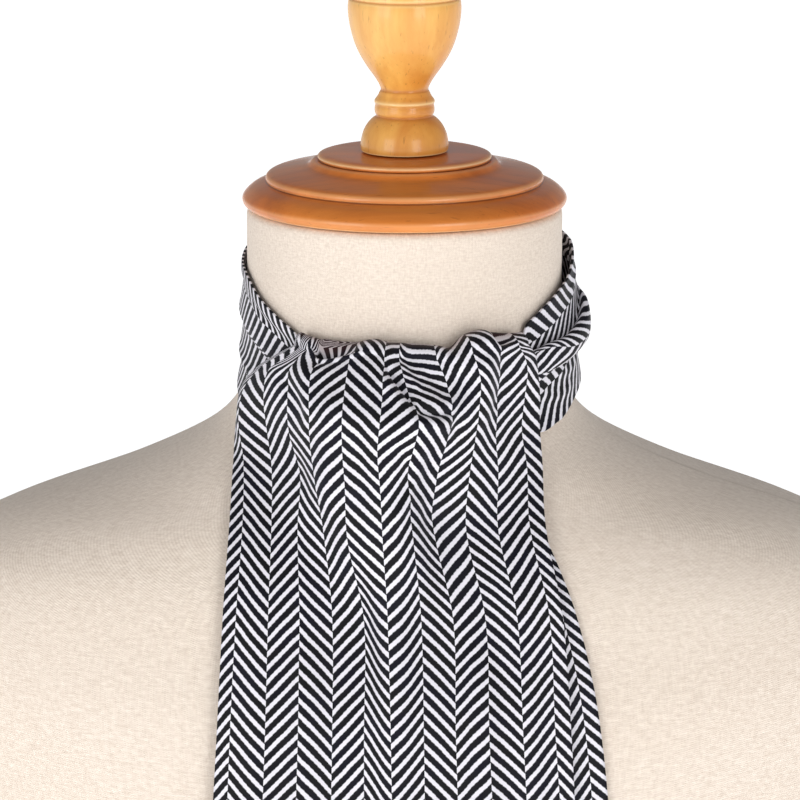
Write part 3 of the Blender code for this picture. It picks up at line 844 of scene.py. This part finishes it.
def herringbone():
    """Silk woven in a broken herringbone: each column's stripes meet the next one's half a stripe apart."""
    made, shader, add, link = material("cravat_herringbone")
    place = add("UVMap", uv_map="cloth").outputs[0]
    parts = add("SeparateXYZ", {0: place})
    line, along = parts.outputs[0], parts.outputs[1]
    steps = 9
    jag = 0.16
    sway = 0.16
    stepped = calculate(add, "SNAP", line, 1 / steps)
    lead = calculate(add, "SUBTRACT", calculate(add, "ADD", stepped, 0.5 / steps), line)
    jagged = calculate(add, "MULTIPLY_ADD", lead, jag, line)
    turn = calculate(add, "FRACT", calculate(add, "MULTIPLY", jagged, 0.5))
    fall = calculate(add, "ABSOLUTE", calculate(add, "MULTIPLY_ADD", turn, -2.0, 1.0))
    odd = calculate(add, "FLOORED_MODULO", calculate(add, "FLOOR", line), 2.0)
    wander = noise(add, place, 2.3, 2.0)
    drift = calculate(add, "MULTIPLY_ADD", wander, sway, -sway / 2)
    phase = calculate(add, "MULTIPLY_ADD", along, COLUMN / STRIPE_PITCH, drift)
    phase = calculate(add, "MULTIPLY_ADD", fall, -STRIPES_PER_COLUMN, phase)
    phase = calculate(add, "MULTIPLY_ADD", odd, 0.5, phase)
    aside = calculate(add, "ABSOLUTE", calculate(add, "SUBTRACT", calculate(add, "FRACT", phase), 0.5))
    edge = 0.035
    white = remap(add, aside, DARK_SHARE / 2 - edge, DARK_SHARE / 2 + edge)

    tint = remap(add, noise(add, place, 0.9, 3.0), 0.42, 0.62)
    dark = blend_colours(add, tint, colour(16, 15, 19), colour(14, 13, 27))
    slub = noise(add, place, 34.0, 2.0)
    pale = blend_colours(add, slub, colour(220, 217, 226), colour(240, 238, 245))
    # Painted shade round the crest: both yarns darkened towards a warm reddish brown where the attribute is
    # set
    painted_crest_shade = add("Attribute", attribute_name="painted_crest_shade").outputs["Fac"]
    dark = blend_colours(add, calculate(add, "MULTIPLY", painted_crest_shade, 0.8), dark, colour(48, 22, 24))
    pale = blend_colours(add, calculate(add, "MULTIPLY", painted_crest_shade, 0.7), pale, colour(176, 158, 154))
    link(blend_colours(add, white, dark, pale), shader.inputs["Base Color"])

    threads = 26.0
    warp = calculate(add, "MULTIPLY_ADD", line, threads * math.tau, 0.0)
    twill = calculate(add, "SINE", calculate(add, "MULTIPLY_ADD", along, threads * math.tau, warp))
    weft = calculate(add, "SINE", calculate(add, "MULTIPLY", along, threads * 2 * math.tau))
    relief = calculate(add, "MULTIPLY_ADD", weft, 0.35, twill)
    relief = calculate(add, "MULTIPLY_ADD", white, 1.2, relief)
    bump = add("Bump", {"Height": relief, "Strength": 0.35, "Distance": 0.00006})
    link(bump.outputs[0], shader.inputs["Normal"])
    link(remap(add, white, start=0.46, end=0.55), shader.inputs["Roughness"])
    shader.inputs["Sheen Weight"].default_value = 0.02
    shader.inputs["Sheen Roughness"].default_value = 0.3
    shader.inputs["Specular IOR Level"].default_value = 0.14
    return made


def linen():
    """Unbleached linen: slubbed threads both ways, seen as pale and dark flecks."""
    made, shader, add, link = material("form_linen_weave")
    place = add("UVMap", uv_map="cloth").outputs[0]
    flecks = []
    for stretch in ((1.0, 0.3, 1.0), (0.3, 1.0, 1.0)):
        mapped = add("Mapping", {"Vector": place, "Scale": stretch}).outputs[0]
        flecks.append(noise(add, mapped, 1500.0, 2.0, Roughness=0.6))
    both = calculate(add, "MULTIPLY", calculate(add, "ADD", flecks[0], flecks[1]), 0.5)
    mix = remap(add, both, 0.36, 0.64)
    cloud = noise(add, place, 22.0, 3.0)
    base = blend_colours(add, mix, colour(223, 210, 198), colour(244, 234, 224))
    warm = blend_colours(add, cloud, colour(246, 241, 235), colour(255, 253, 250))
    link(blend_colours(add, 1.0, base, warm, "MULTIPLY"), shader.inputs["Base Color"])
    parts = add("SeparateXYZ", {0: place})
    thread = 0.0007
    warp = calculate(add, "SINE", calculate(add, "MULTIPLY", parts.outputs[0], math.tau / thread))
    weft = calculate(add, "SINE", calculate(add, "MULTIPLY", parts.outputs[1], math.tau / thread))
    threads = calculate(add, "MULTIPLY", warp, weft)
    relief = calculate(add, "MULTIPLY_ADD", both, 4.0, threads)
    bump = add("Bump", {"Height": relief, "Strength": 0.5, "Distance": 0.00012})
    link(bump.outputs[0], shader.inputs["Normal"])
    shader.inputs["Roughness"].default_value = 0.9
    shader.inputs["Sheen Weight"].default_value = 0.2
    return made


def turned_wood(name, grain, shades):
    """Lacquered wood: rings and streaks along the grain, pores, painted shade in grooves and painted
    highlights on edges.
    """
    made, shader, add, link = material(name)
    place = add("TexCoord").outputs["Object"]
    mapped = add("Mapping", {"Vector": place, "Scale": grain}).outputs[0]
    patch = remap(add, noise(add, place, 14.0, 2.0), 0.38, 0.66)
    rings = remap(add, noise(add, mapped, 42.0, 4.0, Roughness=0.55, Distortion=0.9), 0.34, 0.66)
    streak = remap(add, noise(add, mapped, 210.0, 4.0, Roughness=0.65), 0.3, 0.7)
    deep, middle, pale, edge_highlight_colour, groove_shade_colour = (colour(*shade) for shade in shades)
    body = blend_colours(add, rings, deep, middle)
    body = blend_colours(add, calculate(add, "MULTIPLY", patch, 0.6), body, pale)
    body = blend_colours(add, calculate(add, "MULTIPLY", streak, 0.38), body, deep)
    pore = remap(add, noise(add, mapped, 900.0, 2.0), 0.64, 0.74)
    body = blend_colours(add, calculate(add, "MULTIPLY", pore, 0.35), body, colour(120, 62, 22))
    # Painted highlight: a paler, lighter colour along the outline's outward bends
    edge = add("Attribute", attribute_name="edge").outputs["Fac"]
    body = blend_colours(add, edge, body, edge_highlight_colour)
    # Painted shade: a darker colour in the outline's hollows
    painted_groove_shade = add("Attribute", attribute_name="painted_groove_shade").outputs["Fac"]
    body = blend_colours(add, painted_groove_shade, body, groove_shade_colour)
    link(body, shader.inputs["Base Color"])
    bump = add("Bump", {"Height": streak, "Strength": 0.12, "Distance": 0.0002})
    link(bump.outputs[0], shader.inputs["Normal"])
    link(remap(add, rings, start=0.36, end=0.44), shader.inputs["Roughness"])
    shader.inputs["Specular IOR Level"].default_value = 0.3
    shader.inputs["Coat Weight"].default_value = 0.4
    shader.inputs["Coat Roughness"].default_value = 0.13
    return made


def plain_floor():
    made, shader, add, link = material("studio_floor")
    place = add("TexCoord").outputs["Object"]
    grain = noise(add, place, 3.0, 2.0)
    base = blend_colours(add, grain, colour(249, 249, 249), colour(251, 251, 251))
    link(base, shader.inputs["Base Color"])
    shader.inputs["Roughness"].default_value = 0.8
    shader.inputs["Emission Color"].default_value = (1, 1, 1, 1)
    shader.inputs["Emission Strength"].default_value = 0.85
    return made


def mesh_object(name, points, faces, look):
    mesh = bpy.data.meshes.new(name)
    mesh.from_pydata((points.reshape(-1, 3) * MM).tolist(), [], faces.tolist())
    mesh.materials.append(look)
    mesh.polygons.foreach_set("use_smooth", [True] * len(mesh.polygons))
    obj = bpy.data.objects.new(name, mesh)
    bpy.context.scene.collection.objects.link(obj)
    return obj


def grid_faces(rows, across, closed=False):
    """The four corners of every face of a grid of points."""
    index = np.arange(rows * across).reshape(rows, across)
    right = np.roll(index, -1, axis=1)
    if not closed:
        index = index[:, :-1]
        right = right[:, :-1]
    return np.stack((index[:-1], index[1:], right[1:], right[:-1]), axis=-1).reshape(-1, 4)


def add_map(mesh, name, across, along):
    """A UV map from one pair of numbers for each vertex."""
    layer = mesh.uv_layers.new(name=name)
    corners = np.empty(len(mesh.loops), int)
    mesh.loops.foreach_get("vertex_index", corners)
    pairs = np.stack((across.ravel()[corners], along.ravel()[corners]), axis=-1)
    layer.data.foreach_set("uv", pairs.astype(np.float32).ravel())


def cloth(name, points, line, along, look, node, painted_crest_shade=None):
    """A thin shell on a grid of points; line and along place the weave, and the last argument marks where
    shade is painted on it.
    """
    rows, across = points.shape[:2]
    obj = mesh_object(name, points, grid_faces(rows, across), look)
    spread = np.linspace(BAKE_MARGIN, 1 - BAKE_MARGIN, across)
    fall = np.linspace(1 - BAKE_MARGIN, BAKE_MARGIN, rows)
    add_map(obj.data, "OFBake", *np.meshgrid(spread, fall))
    add_map(obj.data, "cloth", np.broadcast_to(line, (rows, across)), along / COLUMN)
    if painted_crest_shade is not None:
        shaded = obj.data.attributes.new("painted_crest_shade", "FLOAT", "POINT")
        shaded.data.foreach_set("value", painted_crest_shade.astype(np.float32).ravel())
    shell = obj.modifiers.new("Shell", "SOLIDIFY")
    shell.thickness = SHELL * MM
    shell.offset = 0
    shell.use_even_offset = False
    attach(obj, "root")
    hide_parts(node)
    return obj


def rounded(profile, rounds=2):
    """A profile with its corners cut, its two ends kept on the axis."""
    points = np.array(profile, float)
    for _ in range(rounds):
        early = (1 - CORNER_CUT) * points[:-1] + CORNER_CUT * points[1:]
        late = CORNER_CUT * points[:-1] + (1 - CORNER_CUT) * points[1:]
        cut = np.stack((early, late), axis=1).reshape(-1, 2)
        points = np.concatenate((points[:1], cut[1:-1], points[-1:]))
    return points


def ringed(name, rings, around, look, node):
    """A closed body of rings (height, half width, front and back depth), with a point at both ends."""
    angle = np.linspace(0, math.tau, around, endpoint=False)
    height, half, front, back = (column_of[:, None] for column_of in np.array(rings, float).T)
    depth = np.where(np.sin(angle) > 0, back, front)
    x = half * np.cos(angle)
    y = depth * np.sin(angle)
    points = np.stack((x, y, np.broadcast_to(height, x.shape)), axis=-1)
    faces = grid_faces(len(rings), around, closed=True)
    obj = mesh_object(name, points, faces, look)
    girth = np.broadcast_to(angle * NECK_RADIUS * MM, x.shape)
    add_map(obj.data, "cloth", girth, np.broadcast_to(height * MM, x.shape))
    merge = obj.modifiers.new("Poles", "WELD")
    merge.merge_threshold = MERGE_WITHIN
    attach(obj, "root")
    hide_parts(node)
    return obj


def turned(name, profile, look, node):
    """A body turned on the neck's axis, with its hollows marked for painted shade and its edges for painted
    highlights.
    """
    outline = rounded(profile)
    rings = [(CAP_BASE + height, radius, radius, radius) for radius, height in outline]
    obj = ringed(name, rings, TURNED_AROUND, look, node)
    step = np.diff(outline, axis=0)
    heading = np.unwrap(np.arctan2(step[:, 1], step[:, 0]))
    bend = np.zeros(len(outline))
    bend[1:-1] = np.diff(heading)
    # Painted shade in the hollows and painted highlights on the edges, by how sharply the outline bends
    for kind, turning, most in (("painted_groove_shade", bend, MOST_GROOVE_SHADE), ("edge", -bend, MOST_EDGE_HIGHLIGHT)):
        sharp = np.clip(turning - MARKED_BEND, 0, None)
        spread = np.convolve(sharp, np.ones(3) / 3, mode="same")
        value = np.clip(spread * MARK_STRENGTH, 0, most)
        mark = obj.data.attributes.new(kind, "FLOAT", "POINT")
        mark.data.foreach_set("value", np.repeat(value, TURNED_AROUND).astype(np.float32))


def dress_form(look):
    """The form's skin through its sections, with its bottom and top edges softened."""
    lower = np.linspace(FORM_EDGE, LOWER_RINGS_TOP, LOWER_RINGS)
    upper = np.linspace(UPPER_RINGS_START, NECK_TOP - FORM_EDGE, UPPER_RINGS)
    heights = np.concatenate((lower, upper))
    sizes = np.stack([form_size(heights, name) for name in FORM_COLUMNS[1:]], axis=-1)
    rings = [(height, *size) for height, size in zip(heights, sizes)]
    below, above = [], []
    for turn in np.linspace(0, math.pi / 2, EDGE_RINGS):
        draw = FORM_EDGE * (1 - math.sin(turn))
        lift = FORM_EDGE * (1 - math.cos(turn))
        below.append((lift, *(form_size(lift, name) - draw for name in FORM_COLUMNS[1:])))
        above.append((NECK_TOP - lift, *(NECK_RADIUS - draw,) * 3))
    ends = (0, 0, 0, 0), (NECK_TOP, 0, 0, 0)
    rings = [ends[0], *below, *rings[1:-1], *reversed(above), ends[1]]
    ringed("form_linen_cover", rings, FORM_AROUND, look, "form_torso")


def dressed():
    """Every piece of the object that shows."""
    weave = herringbone()
    dress_form(linen())
    turned("wooden_cap", CAP_PROFILE, turned_wood("cap_wood", CAP_GRAIN, CAP_SHADES), "neck_cap")
    wood = turned_wood("finial_wood", FINIAL_GRAIN, FINIAL_SHADES)
    turned("wooden_finial", FINIAL_PROFILE, wood, "finial")

    points, line = front_blade_points()
    along, line = blade_weave(points, line)
    lift = crease_rise(points[..., (0, 2)], CREASES)
    lift[:CREST_ROW] = 0
    # Painted shade over and just below the crest, fading out down the front of the blade
    painted_crest_shade = 1 - ease((distance_down(points, CREST_ROW) - PAINTED_SHADE_END) / PAINTED_SHADE_FADE)
    points = points + lift[..., None] * outward(points)
    blade = cloth("cravat_front_blade", points, line, along, weave, "front_blade", painted_crest_shade)

    points, line = under_blade_points()
    points = points + crease_rise(points[..., (0, 2)], UNDER_CREASES)[..., None] * outward(points)
    under = cloth("cravat_under_blade", points, line, distance_down(points, 0), weave, "under_blade")

    bands = (
        ("cravat_neckband", NECKBAND, NECKBAND_CREASES, NECKBAND_STEPS, 0, "neckband"),
        ("cravat_left_stretch", LEFT_STRETCH, LEFT_CREASES, LEFT_STEPS, GATHER, "left_stretch"),
    )
    for name, rows, creases, around_steps, gather, node in bands:
        points, line, angle = band_points(rows, around_steps)
        points = creased_band(points, angle, creases)
        gathered = np.maximum(angle - math.radians(GATHER_START), 0) * gather
        along = -(angle + gathered) * (NECK_RADIUS + WEAVE_OFF_NECK)
        band = cloth(name, points, line, along, weave, node)

    points, line, angle = right_stretch_points()
    points = creased_band(points, angle, RIGHT_CREASES)
    along = -angle * (NECK_RADIUS + WEAVE_OFF_NECK)
    right = cloth("cravat_right_stretch", points, line, along, weave, "right_stretch")


def soft_box(name, place, size, power):
    """A rectangular light that faces the cravat."""
    light = bpy.data.lights.new(name, "AREA")
    light.shape = "RECTANGLE"
    light.size, light.size_y = size
    light.energy = power
    obj = bpy.data.objects.new(name, light)
    bpy.context.scene.collection.objects.link(obj)
    obj.location = place
    obj.rotation_euler = (Vector(LIGHTS_FACE) - Vector(place)).to_track_quat("-Z", "Y").to_euler()


def studio():
    """Floor, light and camera."""
    corners = np.array([(-1, -1, 0), (1, -1, 0), (1, 1, 0), (-1, 1, 0)]) * FLOOR_HALF / MM
    floor = mesh_object("floor", corners, np.array([(0, 1, 2, 3)]), plain_floor())

    world = bpy.data.worlds.new("studio")
    bpy.context.scene.world = world
    world.use_nodes = True
    tree = world.node_tree
    sky = tree.nodes.new("ShaderNodeTexCoord")
    parts = tree.nodes.new("ShaderNodeSeparateXYZ")
    fade = tree.nodes.new("ShaderNodeMapRange")
    fade.inputs["From Max"].default_value = SKY_DIMMEST_FROM
    fade.inputs["To Min"].default_value = 1.0
    fade.inputs["To Max"].default_value = SKY_DIMMEST
    tree.links.new(sky.outputs["Generated"], parts.inputs[0])
    tree.links.new(parts.outputs[2], fade.inputs[0])
    tree.links.new(fade.outputs[0], tree.nodes["Background"].inputs["Color"])
    tree.nodes["Background"].inputs["Strength"].default_value = SKY_STRENGTH

    for name, place, size, power in SOFT_BOXES:
        soft_box(name, place, size, power)

    target = Vector(VIEW_TARGET) * MM
    back = Vector((0, -math.cos(VIEW_DOWN), math.sin(VIEW_DOWN)))
    camera = bpy.data.objects.new("camera", bpy.data.cameras.new("camera"))
    bpy.context.scene.collection.objects.link(camera)
    camera.location = target + back * VIEW_DISTANCE * MM
    camera.rotation_euler = (-back).to_track_quat("-Z", "Y").to_euler()
    camera.data.lens = LENS
    camera.data.clip_start = 0.05
    camera.data.clip_end = 200
    bpy.context.scene.camera = camera
    bpy.context.scene.view_settings.view_transform = "Standard"


dressed()
studio()
